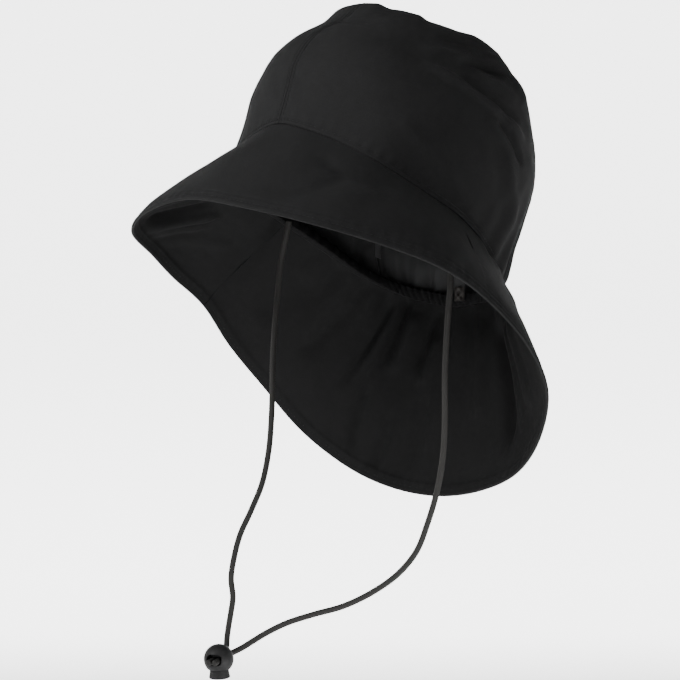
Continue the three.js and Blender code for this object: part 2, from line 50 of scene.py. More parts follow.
# The seam between crown and brim, in the plane of the head opening
SEAM = table(
    "angle side front up",
    (0, 0, 93.5, 0.5),
    (15, 23, 89, -2),
    (30, 45, 80, -5),
    (45, 63, 68, -8),
    (60, 73, 50.5, -8),
    (75, 78, 26.5, -5),
    (90, 78.5, -1, 0),
    (105, 73, -30.5, 3),
    (120, 62.5, -59, 3),
    (135, 53, -78, 6),
    (150, 42, -89, 9),
    (165, 24.5, -95, 9),
    (180, 0, -96.5, 6.5),
)

# Level sections of the crown
CROWN = table(
    "share up front side back square",
    (0, 0, 93, 80, 97, 2),
    (0.12, 20, 99, 85.5, 88, 2.05),
    (0.26, 41, 105, 86, 85, 2.15),
    (0.4, 62, 103, 80.5, 84, 2.25),
    (0.54, 82, 93, 70.5, 81.5, 2.3),
    (0.68, 101, 79.5, 61, 71.5, 2.3),
    (0.82, 115.5, 52.5, 58, 48, 2.2),
    (0.92, 122.5, 28, 39, 32, 2.05),
    (1, 124, 0, 0, 0, 2),
)

# The free edge of brim and flap
RIM = table(
    "angle left back up bow",
    (0, 0, -147, 8.5, 1.5),
    (20, 46, -142, 2, 2.5),
    (40, 85, -121, -9, 5),
    (60, 110, -83.5, -22.5, 6),
    (75, 125, -54.5, -35, 4),
    (90, 130, -24.5, -52.5, 2),
    (105, 135.5, 3.5, -79, 1.5),
    (120, 128.5, 27.5, -106.5, 1),
    (135, 107.5, 43, -136, 3),
    (150, 77, 54.5, -158.5, 5),
    (165, 40.5, 58.5, -171, 6),
    (180, 0, 60, -175.5, 6),
)

# Folds and dents: three places each, then a width and a height
FOLD_COLUMNS = "a1 s1 a2 s2 a3 s3 width height"
CROWN_FOLDS = table(
    FOLD_COLUMNS,
    (50, 0.43, 78, 0.465, 110, 0.555, 3.6, 3.4),
    (64, 0.49, 82, 0.53, 104, 0.6, 4, -3),
    (66, 0.57, 88, 0.65, 116, 0.78, 5.5, 2.5),
    (64, 0.54, 82, 0.71, 104, 0.86, 4, -4),
    (46, 0.49, 66, 0.61, 86, 0.82, 4.5, 2.6),
    (52, 0.62, 64, 0.75, 80, 0.88, 3.2, -1.6),
    (50, 0.76, 70, 0.85, 92, 0.92, 6, 2.5),
    (86, 0.47, 97, 0.435, 108, 0.37, 4.5, -2.6),
    (68, 0.13, 84, 0.07, 102, 0.02, 4, 0.9),
    (48, 0.17, 64, 0.12, 82, 0.08, 4.5, 0.9),
    (92, 0.38, 106, 0.24, 126, 0.08, 7, 1.6),
    (84, 0.36, 99, 0.22, 116, 0.09, 7, -1.4),
    (-8, 0.6, 8, 0.545, 24, 0.6, 5, -1),
    (-26, 0.7, -4, 0.68, 18, 0.72, 9, 5.5),
    (12, 0.735, 24, 0.715, 36, 0.75, 6, 2.4),
    (-64, 0.42, -84, 0.5, -106, 0.55, 5, 2.6),
    (-70, 0.56, -88, 0.62, -104, 0.66, 5, -2.6),
    (-98, 0.3, -112, 0.2, -124, 0.1, 6, -1.6),
    (150, 0.12, 158, 0.3, 150, 0.52, 8, -2.4),
    (-172, 0.1, -168, 0.32, -176, 0.6, 8, -2.4),
    (174, 0.2, 178, 0.5, 170, 0.74, 7, 2),
)
BRIM_FOLDS = table(
    FOLD_COLUMNS,
    (28, 0.18, 42, 0.36, 64, 0.25, 6, -1.5),
    (28, 0.92, 36, 0.62, 43, 0.36, 6, -1.3),
    (38, 0.9, 45, 0.65, 58, 0.4, 7, 1),
    (-34, 0.94, -43, 0.62, -48, 0.4, 3, -1.6),
    (-42, 0.88, -55, 0.53, -63, 0.2, 3.6, 3.6),
    (-46, 0.94, -60, 0.58, -69, 0.26, 3.2, -2.8),
    (-50, 0.94, -62, 0.65, -70, 0.44, 3, -1.6),
    (-56, 0.92, -72, 0.62, -84, 0.45, 5, -1),
    (-110, 0.2, -108, 0.45, -106, 0.75, 9, 2),
    (-125, 0.2, -124, 0.45, -122, 0.7, 6, 1.8),
    (-144, 0.02, -142, 0.3, -138, 0.7, 4, 3),
    (-149, 0.03, -145, 0.28, -141, 0.6, 4, -2.6),
    (-153, 0.02, -150, 0.2, -149, 0.48, 3.8, 2.6),
    (-158, 0.08, -156, 0.26, -152, 0.5, 4.5, -2),
    (-170, 0.02, -166, 0.2, -163, 0.42, 5, 2.4),
    (-171, 0.16, -169, 0.32, -166, 0.5, 4.5, -1.6),
    (-148, 0.5, -148, 0.74, -151, 0.96, 5, 2),
    (-157, 0.62, -158, 0.8, -158, 0.97, 4.5, 1.8),
    (-170, 0.48, -169, 0.68, -169, 0.9, 6, 1.8),
    (168, 0.08, 169, 0.4, 170, 0.7, 8, -1.6),
    (158, 0.1, 155.5, 0.46, 156, 0.9, 5.5, 6),
    (151, 0.12, 147.5, 0.42, 150, 0.78, 3.5, -2.6),
    (142, 0.1, 141, 0.45, 138, 0.85, 8, -2.4),
    (124, 0.08, 122, 0.4, 120, 0.8, 8, 2),
)

# Details that only the render has, in millimetres
ROLL = 0.9  # radius to which the cloth rolls into a seam
BRIM_ROLL = dict(side=0.15, seam=1.4)  # share of that roll that the brim has
OVERLAP = 0.2  # how far a panel reaches past its own side seams
TUCK = 1.6  # how far crown and brim reach past the seam between them, inside it
HEM_LINE = 2.8  # topstitching from the free edge
HEM_FOLD = 6.8  # inner edge of the turned-in hem
HEM_RISE = dict(height=0.6, reach=0.8)  # how much thicker the hem is, and how soon
CROWN_LINE = 2.9  # topstitching above the head opening's seam
PANEL_LINE = 2.4  # topstitching beside the crown's own seams
STITCH = dict(first=0.6, pitch=2.9, length=2.1, radius=0.17, lift=0.1, sides=5)
SUNK = dict(row=0.3, seam=0.2)  # how deep the rows of stitches lie in the cloth
LINE_STEP = dict(crown=0.7, hem=0.5)  # in degrees
# Where a row beside a seam ends, as a share of the surface, and its number of points
CROWN_ROW = (0.965, 200)
BRIM_ROW = (0.93, 120)
STITCH_SHAPE = table(
    "along thick out",
    (0, 0.4, -0.3),
    (0.14, 0.95, 0),
    (0.5, 1.05, 0.08),
    (0.86, 0.95, 0),
    (1, 0.4, -0.3),
)
# Rows of mesh points: the usual step, and the places beside a seam and beside a hem
PANEL_STEP = 1.5
EDGE_STEPS = (0, 0.25, 0.6, 1.1, 1.8, 2.4, 3.1, 3.8)
RIM_STEPS = (0, 0.6, 1.3, 2.2, 3.2, 4.2, 4.8, 5.3, 5.9, 6.6, 7.4, 8.4)
POLE_STEPS = (0.02, 1.2)
POLE = 0.9998  # the crown's last row, just beside its top

# Slow waves and small dents of the cloth, and how far from a seam they are in full
WAVE = dict(height=0.4, crown=46, brim=44, fade=14)
DENT = dict(height=0.06, crown=13, brim=12, fade=5, rim_fade=8)
# How deep the stitches pull the cloth in, and how wide that dip is
CROWN_DIP = dict(depth=0.4)
PANEL_DIP = dict(depth=0.28)
SIDE_DIP = dict(depth=0.07)
HEM_DIP = dict(depth=0.42, width=0.55)
FOLD_DIP = dict(depth=0.28, width=0.6)
INNER_DIP = dict(depth=0.35, width=0.6)
# Puckers along a row of stitches
CROWN_PUCKER = dict(line=4.5, pitch=9, height=0.2, reach=3.5)
PANEL_PUCKER = dict(line=4.5, pitch=9.5, height=0.14, reach=3.5)
HEM_PUCKER = dict(line=5, pitch=8, height=0.22, reach=4)
PUCKER_FADE = dict(side=3, low=4)  # how far from the next seam they are in full

# Elastic casing: its size, stitched edges and boxy section, where it is pulled in, and its ruffles
BAND = dict(outer=1.7, inner=6.0, height=8.0, wall=0.03, sides=20)
BAND_EDGE = dict(place=0.7, width=0.12, depth=0.6)
BAND_BOXY = dict(across=0.6, up=0.45)
BAND_PULL = dict(front=0.25, more=0.75, start=80, reach=25)
RUFFLE_PUSH = dict(inward=0.8, up=0.5)
RUFFLES = (
    # height, lean over the height of the casing, pitch, seed
    (0.7, 1.2, 8.6, 0.7),
    (0.5, -2.4, 5.3, 2.2),
    (0.4, 3, 13, 4.1),
)
# Tape inside the crown's back side seams
TAPE = dict(width=3.5, thick=0.5, inset=CLOTH + 0.15, start=0.1, end=0.92)
TAPE_EDGE = dict(low=0.4, width=0.8)
TAPE_RIDGE = dict(height=0.25, width=0.9, uneven=0.06, pitch=6)
# Bare label on the casing
LABEL = dict(wide=8, thick=0.8, tall=17.5, side=6, back=75.6, base=-51)
# Its lower end in another colour, with two threads that cross on it
LABEL_END = dict(low=-0.02, high=0.48, forward=0.8, thick=0.5, crossed=0.8)
THREADS = dict(swing=2.4, width=1.1)

# Chin cord, in two strands that end in the lock
CORD = 3.5
LEFT_STRAND = [
    (68.5, 4, 0), (69.5, 4, -10), (71, 2, -24), (72, 1, -40), (70, 1, -58), (67.5, 1.5, -80),
    (65.5, 2.5, -100), (62.5, 5.5, -124), (59, 7.5, -146), (53, 8.5, -168), (45, 8, -189),
    (36.5, 6.5, -207), (26, 1, -221), (10.5, -6.5, -233), (-5.5, -16, -242), (-21.5, -26, -247.5),
    (-37.5, -34.5, -253.5), (-51.5, -39.5, -260.5), (-61.5, -41.5, -266), (-67.5, -45.5, -270.5),
    (-69, -51.5, -273),
]
RIGHT_STRAND = [
    (-68.5, -4.5, 0), (-71, -5, -10), (-75.5, -5, -25), (-77, -6.5, -44), (-76, -10, -66),
    (-73, -14.5, -89), (-69, -18.5, -108), (-65.5, -22.5, -127), (-62.5, -27.5, -147),
    (-62, -33.5, -167), (-64, -41, -184), (-67, -47.5, -199), (-69, -51, -214),
    (-70.5, -52, -226.5), (-70.5, -50.5, -238.5), (-72.5, -50.5, -248.5), (-74.5, -50.5, -256.5),
    (-75.5, -51, -264), (-73.5, -53.5, -270),
]
CORD_PLACES = (-10, -4, 4, 12.5)  # places along the lock's hole, from behind it to its front
CORD_SPREAD = 1.95  # from the middle of the hole to each strand
CORD_STEP = 0.42
CORD_END = (1.04, 1.06, 1.05, 0.99, 0.9, 0.72)  # thickness of the last steps
BRAID = dict(strands=8, pitch=1.7, height=0.13, lift=0.05)

# Cord lock
LOCK_CENTRE = Vector((-63.6, -68.2, -275.5))
LOCK_HOLE = Vector((0.44, -0.848, -0.13)).normalized()
BALL = dict(radius=9.4, cut=-6.2, bore=5.6, bore_top=6.4, mouth=6.4, mouth_top=-3.9)
BALL_HOLE = dict(wide=10, low=-2.6, high=4.4, corner=2.8)
PLUNGER_HOLE = dict(wide=8, low=-4.8, high=2.2, corner=0.7)
PLUNGER = [
    (0, 3.7), (4.9, 3.7), (5.3, 3.3), (5.3, -6.3), (6.05, -6.5), (6.15, -9),
    (6.7, -11.5), (6.4, -11.9), (5.2, -11.7), (0, -10.6),
]
LOCK_SIDES = 56
BORE_SIDES = 48
LOCK_EDGE = dict(width=0.25, segments=2)
# How far the cutters go, well outside the lock
BALL_REACH = 3 * BALL["radius"]
PLUNGER_REACH = 30

# Camera and stage, in metres
CAMERA_PLACE = (1.3777, -1.3086, -0.07625)
CAMERA_AZIMUTH = 47
CAMERA_LENS = 160.94
CAMERA_SENSOR = 36
FLOOR_LEVEL = -0.5
STAGE = dict(inner=2, flat=3.5, curve=2.5, top=3.2, sides=64)
# The stage glows most in the part that the camera sees behind the hat
BACKDROP = dict(near=1.2, far=2.6, reach=1.5, edge=2.7, floor=0.9, wall=0.18, bright=3.3)
TENT = 0.15  # strength of the light from all sides
LIGHTS = (
    # name, azimuth, elevation, distance, size, power
    ("key", -18, 29, 1.8, 0.8, 43),
    ("fill", 95, -60, 0.5, 0.25, 1.6),
    ("top", 45, 70, 1.8, 0.9, 13),
)

# Colours, dark and light
SHELL = ((0.0047, 0.0047, 0.0049), (0.0142, 0.0142, 0.0145))
COATING = ((0.0024, 0.0024, 0.0025), (0.0078, 0.0078, 0.008))
# Inside of the crown: the same coating as under the brim and flap, painted several times lighter as painted
# light, for the light that hardly reaches inside the crown
CROWN_COATING_PAINTED_LIGHT = ((0.017, 0.017, 0.0175), (0.034, 0.034, 0.035))
CASING = ((0.003, 0.003, 0.0032), (0.0065, 0.0065, 0.0067))
TAPES = ((0.035, 0.035, 0.036), (0.055, 0.055, 0.056))
TAB = ((0.01, 0.01, 0.0104), (0.02, 0.02, 0.0206))
LOOP = ((0.012, 0.0105, 0.0095), (0.022, 0.019, 0.017))
YARN = ((0.008, 0.0078, 0.0073), (0.0225, 0.0216, 0.0202))
THREAD = ((0.004, 0.004, 0.0042), (0.009, 0.009, 0.0092))
PLASTIC = ((0.01, 0.01, 0.0102), (0.018, 0.018, 0.0182))

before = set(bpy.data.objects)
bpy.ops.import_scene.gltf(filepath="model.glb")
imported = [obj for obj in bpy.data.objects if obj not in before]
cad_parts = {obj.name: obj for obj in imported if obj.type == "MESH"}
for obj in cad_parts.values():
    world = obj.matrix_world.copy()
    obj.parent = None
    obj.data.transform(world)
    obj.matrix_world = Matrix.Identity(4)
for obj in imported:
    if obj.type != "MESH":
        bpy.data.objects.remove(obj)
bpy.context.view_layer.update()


# Camera and stage

def put(name, data):
    """A new object in the scene."""
    thing = bpy.data.objects.new(name, data)
    bpy.context.scene.collection.objects.link(thing)
    return thing


def set_camera():
    data = bpy.data.cameras.new("camera")
    data.lens = CAMERA_LENS
    data.sensor_width = CAMERA_SENSOR
    camera = put("camera", data)
    camera.location = CAMERA_PLACE
    camera.rotation_euler = (math.radians(90), 0, math.radians(CAMERA_AZIMUTH))
    bpy.context.scene.camera = camera


def add_light(name, azimuth, elevation, distance, size, power):
    data = bpy.data.lights.new(name, "AREA")
    data.shape = "DISK"
    data.size = size
    data.energy = power
    light = put(name, data)
    a, e = math.radians(azimuth), math.radians(elevation)
    way = Vector((math.sin(a) * math.cos(e), -math.cos(a) * math.cos(e), math.sin(e)))
    light.location = way * distance
    light.rotation_mode = "QUATERNION"
    light.rotation_quaternion = way.to_track_quat("Z", "Y")


def fade_between(tree, value, start, end, low, high):
    return add_node(tree, "ShaderNodeMapRange", {
        "Value": value, "From Min": start, "From Max": end, "To Min": low, "To Max": high,
    }, interpolation_type="SMOOTHSTEP").outputs["Result"]


def set_stage():
    """A pale floor that curves up into a round wall, and a soft light tent."""
    flat, curve = STAGE["flat"], STAGE["curve"]
    profile = [(0, 0), (STAGE["inner"], 0), (flat, 0)]
    profile += [(flat + curve * math.sin(t), curve - curve * math.cos(t)) for t in np.linspace(0.1, 1.57, 12)]
    profile += [(flat + curve, STAGE["top"])]
    floor = lathe("floor", [(r, FLOOR_LEVEL + z) for r, z in profile], STAGE["sides"])
    floor.data.shade_smooth()
    paint, tree, shader = shader_of("pale_floor", 0.5)
    shader.inputs["Base Color"].default_value = (0.9, 0.9, 0.9, 1)
    shader.inputs["Roughness"].default_value = 0.9
    shader.inputs["Emission Color"].default_value = (1, 1, 1, 1)
    place = add_node(tree, "ShaderNodeTexCoord").outputs["Object"]
    a = math.radians(CAMERA_AZIMUTH)
    axis = (-math.sin(a), math.cos(a), 0)
    ahead = vector_node(tree, "DOT_PRODUCT", {0: place, 1: axis}).outputs["Value"]
    off = vector_node(tree, "CROSS_PRODUCT", {0: place, 1: axis}).outputs["Vector"]
    beside = vector_node(tree, "LENGTH", {0: off}).outputs["Value"]
    height = add_node(tree, "ShaderNodeSeparateXYZ", {0: place}).outputs["Z"]
    behind = fade_between(tree, ahead, BACKDROP["near"], BACKDROP["far"], 0, BACKDROP["bright"])
    central = fade_between(tree, beside, BACKDROP["reach"], BACKDROP["edge"], 1, 0)
    low = fade_between(tree, height, FLOOR_LEVEL, 0, BACKDROP["floor"], BACKDROP["wall"])
    glow = math_node(tree, "ADD", math_node(tree, "MULTIPLY", behind, central), low)
    feed(tree, shader, {"Emission Strength": glow})
    floor.data.materials.append(paint)
    world = bpy.data.worlds.new("tent")
    world.use_nodes = True
    world.node_tree.nodes["Background"].inputs["Color"].default_value = (1, 1, 1, 1)
    world.node_tree.nodes["Background"].inputs["Strength"].default_value = TENT
    bpy.context.scene.world = world
    for light in LIGHTS:
        add_light(*light)


# Lines and surfaces of the hat, in millimetres. Angles are in degrees and may be arrays.

def smooth(x):
    t = np.clip(x, 0, 1)
    return t * t * (3 - 2 * t)


def cubic(t, here, slope, there, next_slope):
    """The cubic curve from one place to the next, with a slope at each."""
    t2, t3 = t * t, t * t * t
    return ((2 * t3 - 3 * t2 + 1) * here + (t3 - 2 * t2 + t) * slope
            + (3 * t2 - 2 * t3) * there + (t3 - t2) * next_slope)


def curve_through(xs, ys, x):
    """A smooth curve through one column of a table."""
    x = np.asarray(x, float)
    i = np.clip(np.searchsorted(xs, x) - 1, 1, len(xs) - 3)
    step = xs[i + 1] - xs[i]
    t = (x - xs[i]) / step
    slope = (ys[i + 1] - ys[i - 1]) / (xs[i + 1] - xs[i - 1]) * step
    next_slope = (ys[i + 2] - ys[i]) / (xs[i + 2] - xs[i]) * step
    return cubic(t, ys[i], slope, ys[i + 1], next_slope)


def round_the_hat(rows, column, angle, mirrored=False):
    """A column that runs from the front to the back, mirrored to the other side."""
    turned = (np.asarray(angle, float) + 540) % 360 - 180
    sign = -1 if mirrored else 1
    xs, ys = rows["angle"], rows[column]
    xs = np.concatenate([[-xs[1]], xs, [360 - xs[-2]]])
    ys = np.concatenate([[sign * ys[1]], ys, [sign * ys[-2]]])
    value = curve_through(xs, ys, np.abs(turned))
    return np.where(turned < 0, sign * value, value)


def up_the_crown(column, share):
    xs, ys = CROWN["share"], CROWN[column]
    end = ys[-2] if column == "up" else 2 * ys[-1] - ys[-2]
    xs = np.concatenate([[-xs[1]], xs, [2 - xs[-2]]])
    ys = np.concatenate([[2 * ys[0] - ys[1]], ys, [end]])
    return curve_through(xs, ys, share)


def tipped(side, front, up):
    """From the plane of the head opening to the frame of the part."""
    c, s = math.cos(math.radians(TIP_BACK)), math.sin(math.radians(TIP_BACK))
    return np.stack(np.broadcast_arrays(side, -c * front + s * up, s * front + c * up), -1)


def seam_point(angle):
    return tipped(
        round_the_hat(SEAM, "side", angle, True),
        round_the_hat(SEAM, "front", angle),
        round_the_hat(SEAM, "up", angle),
    )


def rim_point(angle):
    return np.stack([
        round_the_hat(RIM, "left", angle, True),
        round_the_hat(RIM, "back", angle),
        round_the_hat(RIM, "up", angle),
    ], -1)


def unit(v):
    return v / np.maximum(np.linalg.norm(v, axis=-1, keepdims=True), 1e-9)


def crown_base(angle, share):
    angle, share = np.broadcast_arrays(np.asarray(angle, float), np.asarray(share, float))
    s, c = np.sin(np.radians(angle)), np.cos(np.radians(angle))
    power = 2 / up_the_crown("square", share)
    ahead = np.where(c > 0, up_the_crown("front", share), up_the_crown("back", share))
    side = np.sign(s) * np.abs(s) ** power * up_the_crown("side", share)
    front = np.sign(c) * np.abs(c) ** power * ahead
    own = np.maximum(0, 1 - share / SEAM_REACH) ** 2
    side_off = round_the_hat(SEAM, "side", angle, True) - s * CROWN["side"][0]
    low = np.where(c > 0, CROWN["front"][0], CROWN["back"][0])
    front_off = round_the_hat(SEAM, "front", angle) - c * low
    up = up_the_crown("up", share) + round_the_hat(SEAM, "up", angle) * own
    return tipped(side + side_off * own, front + front_off * own, up)


def brim_base(angle, share):
    angle, share = np.broadcast_arrays(np.asarray(angle, float), np.asarray(share, float))
    seam = seam_point(angle)
    ruling = rim_point(angle) - seam
    along = seam_point(angle + 1) - seam_point(angle - 1)
    outward = unit(np.cross(ruling, along))
    bow = round_the_hat(RIM, "bow", angle) * BOW_SCALE * share ** 2 * (1 - share)
    return seam + ruling * share[..., None] + outward * bow[..., None]


def per_degree(base, angle, share):
    """How far a degree goes round a surface."""
    return np.linalg.norm(base(angle + 0.5, share) - base(angle - 0.5, share), axis=-1)


def outward_at(base, sign, angle, share):
    around = base(angle + 0.5, share) - base(angle - 0.5, share)
    up = base(angle, np.minimum(1, share + 0.005)) - base(angle, np.maximum(0, share - 0.005))
    return unit(sign * np.cross(around, up))


def fold_height(points, base, folds):
    """Height of all folds of a table at some points."""
    t = np.arange(FOLD_STEPS + 1) / FOLD_STEPS
    weights = (1 - 3 * t + 2 * t * t, 4 * t - 4 * t * t, 2 * t * t - t)
    total = np.zeros(points.shape[:-1])
    for row in range(len(folds["a1"])):
        angle = sum(w * folds[name][row] for w, name in zip(weights, ("a1", "a2", "a3")))
        share = sum(w * folds[name][row] for w, name in zip(weights, ("s1", "s2", "s3")))
        places = base(angle, np.clip(share, 0, 1))
        nearest = np.full(points.shape[:-1], 1e9)
        along = np.zeros(points.shape[:-1])
        for i in range(FOLD_STEPS):
            way = places[i + 1] - places[i]
            offset = points - places[i]
            part = np.clip(offset @ way / (way @ way), 0, 1)
            distance = np.linalg.norm(offset - part[..., None] * way, axis=-1)
            along = np.where(distance < nearest, (i + part) / FOLD_STEPS, along)
            nearest = np.minimum(distance, nearest)
        fade = smooth(np.minimum(along, 1 - along) / FOLD_FADE)
        total += folds["height"][row] * fade * np.exp(-(nearest / folds["width"][row]) ** 2)
    return total


def from_the_front(angle):
    return np.abs((angle + 540) % 360 - 180)


def gather_height(angle, distance):
    pulled = smooth((from_the_front(angle) - GATHER["start"]) / (GATHER["full"] - GATHER["start"]))
    wave = 0.5 - 0.5 * np.cos(np.radians(360 * angle / GATHER["step"]))
    rise = distance / GATHER["reach"] * np.exp(1 - distance / GATHER["reach"])
    return GATHER["height"] * pulled * wave * rise


def cloth_surface(base, sign, folds, angle, share):
    """A cloth surface with its folds and gathers on it."""
    point = base(angle, share)
    distance = np.linalg.norm(point - seam_point(angle), axis=-1)
    height = fold_height(point, base, folds) * smooth(distance / SEAM_FLAT)
    height = height + gather_height(angle, distance)
    return point + outward_at(base, sign, angle, share) * height[..., None]


# The two surfaces of the hat, as cloth_surface takes them
CROWN_FORM = (crown_base, 1, CROWN_FOLDS)
BRIM_FORM = (brim_base, -1, BRIM_FOLDS)


# Relief that the sewing leaves in the cloth

def rolled(distance):
    """The cloth turns down into a seam over the last bit."""
    d = np.clip(distance, 0, ROLL)
    return np.sqrt(ROLL ** 2 - (ROLL - d) ** 2) - ROLL


def groove(distance, line, depth, width=0.7):
    return -depth * np.exp(-((distance - line) / width) ** 2)


def uneven(along, pitch, seed):
    """A wave whose length and height vary a little, from -1 to 1."""
    turn = 2 * math.pi * along / pitch + 1.3 * np.sin(along / (2.3 * pitch) + seed)
    level = 0.6 + 0.4 * np.sin(along / (3.7 * pitch) + 2.1 * seed)
    return np.sin(turn + seed) * level


def pucker(along, distance, seed, line, pitch, height, reach):
    return height * uneven(along, pitch, seed) * np.exp(-((distance - line) / reach) ** 2)


def soft_noise(points, size, seed):
    """Slow waves in all directions, from about -1 to 1."""
    total = np.zeros(points.shape[:-1])
    for k in range(5):
        turn = seed + 1.9 * k
        way = np.array([math.cos(turn), math.sin(1.7 * turn), math.cos(2.3 * turn + 1)])
        total += np.sin(points @ way * (2 * math.pi / size) * (0.7 + 0.22 * k) + 5 * turn)
    return total / 3


# Meshes

def distances(points, axis=0):
    """How far each point of a line is from the first one, along the line."""
    steps = np.linalg.norm(np.diff(points, axis=axis), axis=-1)
    return np.cumsum(np.insert(steps, 0, 0, axis), axis)


def sample(at, along, line):
    return np.stack([np.interp(at, along, line[:, k]) for k in range(3)], -1)


def loft(index, following, ahead, ahead_following):
    return np.stack([index, following, ahead_following, ahead], -1).reshape(-1, 4)


def grid_normals(points, sign):
    across = np.gradient(points, axis=1)
    up = np.gradient(points, axis=0)
    return unit(sign * np.cross(across, up))


def link(name, points, faces, uv=None, smooth_angle=50):
    """A mesh object in metres. uv is one place per vertex, in millimetres."""
    mesh = bpy.data.meshes.new(name)
    mesh.from_pydata((np.asarray(points) * MM).tolist(), [], faces)
    mesh.shade_smooth()
    if uv is not None:
        layer = mesh.uv_layers.new(name="cloth")
        corner = np.empty(len(mesh.loops), int)
        mesh.loops.foreach_get("vertex_index", corner)
        layer.data.foreach_set("uv", (np.asarray(uv)[corner] * 0.1).ravel())
    mesh.validate()
    mesh.set_sharp_from_angle(angle=math.radians(smooth_angle))
    return put(name, mesh)


def steps_between(length, near, far, step):
    """Places from 0 to a length, close together at both ends. length may be an array."""
    count = int(np.max(length) / step)
    near, far = np.array(near, float), np.array(far, float)[::-1]
    room = np.minimum(1, np.asarray(length) * 0.45 / max(near[-1], far[0], 0.01))[..., None]
    first, last = near * room, np.asarray(length)[..., None] - far * room
    between = np.linspace(0, 1, count + 2)[1:-1]
    middle = first[..., -1:] + (last[..., :1] - first[..., -1:]) * between
    return np.concatenate([first, middle, last], -1)


def sheet_mesh(name, outer, inner, uv, lips):
    """A closed sheet between two grids. lips names the borders that get a round edge."""
    rows, columns = outer.shape[:2]
    flat_out, flat_in, flat_uv = outer.reshape(-1, 3), inner.reshape(-1, 3), uv.reshape(-1, 2)
    points, places = [flat_out, flat_in], [flat_uv, flat_uv]
    index = np.arange(rows * columns).reshape(rows, columns)
    under = index + rows * columns
    quads = [
        loft(index[:-1, :-1], index[:-1, 1:], index[1:, :-1], index[1:, 1:]),
        loft(under[:-1, 1:], under[:-1, :-1], under[1:, 1:], under[1:, :-1]),
    ]
    count = 2 * rows * columns
    borders = {
        "bottom": (index[0], under[0], outer[0] - outer[1], False),
        "top": (index[-1], under[-1], outer[-1] - outer[-2], True),
        "left": (index[:, 0], under[:, 0], outer[:, 0] - outer[:, 1], True),
        "right": (index[:, -1], under[:, -1], outer[:, -1] - outer[:, -2], False),
    }
    for side, (top, low, way, flip) in borders.items():
        strips = [top]
        if side in lips:
            a, b = flat_out[top], flat_in[low - rows * columns]
            out = unit(way)
            half = np.linalg.norm(a - b, axis=-1, keepdims=True) / 2
            for turn in (0.25, 0.5, 0.75):
                t = math.pi * turn
                middle = (a + b) / 2 + (a - b) / 2 * math.cos(t) + out * half * math.sin(t)
                points.append(middle)
                places.append(flat_uv[top])
                strips.append(np.arange(count, count + len(top)))
                count += len(top)
        strips.append(low)
        for a, b in zip(strips, strips[1:]):
            quad = np.stack([a[:-1], b[:-1], b[1:], a[1:]], -1)
            quads.append(quad[:, ::-1] if flip else quad)
    faces = np.concatenate(quads)
    piece = link(name, np.concatenate(points), faces.tolist(), np.concatenate(places))
    inside = np.zeros(count)
    inside[index.size:2 * index.size] = 1
    piece.data.attributes.new("inside", "FLOAT", "POINT").data.foreach_set("value", inside)
    return piece


def cloth_sides(base, sign, height, thick):
    """Both sides of a cloth that stands off its base by a height."""
    outer = base + grid_normals(base, sign) * height[..., None]
    return outer, outer - grid_normals(outer, sign) * np.asarray(thick)[..., None]


def cloth_uv(points):
    """Distances round the hat and away from the seam, from the middle of the piece."""
    across = distances(points, 1)
    across -= across[:, across.shape[1] // 2][:, None]
    return np.stack([across, distances(points)], -1)


def crown_panel(name, node, start, end, seed):
    """One panel of the crown, rolled into its seams."""
    share = steps_between(CROWN_LENGTH, EDGE_STEPS, POLE_STEPS, PANEL_STEP) / CROWN_LENGTH
    share = np.concatenate([[-TUCK / CROWN_LENGTH], share])
    share[-1] = POLE
    degree = (per_degree(crown_base, start, share) + per_degree(crown_base, (start + end) / 2, share)) / 2
    d = steps_between((end - start) * degree, EDGE_STEPS, EDGE_STEPS, PANEL_STEP)
    angle = start + d / degree[:, None]
    angle[:, 0] = start - OVERLAP / degree
    angle[:, -1] = end + OVERLAP / degree
    share = np.broadcast_to(share[:, None], angle.shape)
    base = cloth_surface(*CROWN_FORM, angle, share)
    uv = cloth_uv(base)
    side = np.maximum(0, np.minimum(angle - start, end - angle)) * per_degree(crown_base, angle, share)
    low = uv[..., 1] - TUCK
    keep = smooth(side / PUCKER_FADE["side"])
    height = np.minimum(rolled(side), rolled(low))
    height += groove(low, CROWN_LINE, **CROWN_DIP) + groove(side, PANEL_LINE, **PANEL_DIP)
    height += pucker(uv[..., 0], low, seed, **CROWN_PUCKER) * keep
    height += pucker(low, side, seed + 2, **PANEL_PUCKER) * smooth(low / PUCKER_FADE["low"])
    waves = soft_noise(base, WAVE["crown"], seed) * smooth(low / WAVE["fade"]) * smooth(side / WAVE["fade"])
    dents = soft_noise(base, DENT["crown"], seed + 3) * smooth(low / DENT["fade"]) * keep
    height += WAVE["height"] * waves + DENT["height"] * dents
    panel = sheet_mesh(name, *cloth_sides(base, 1, height, CLOTH), uv, ())
    return dress(panel, CROWN_PAINT_PAINTED_LIGHT_INSIDE, node)


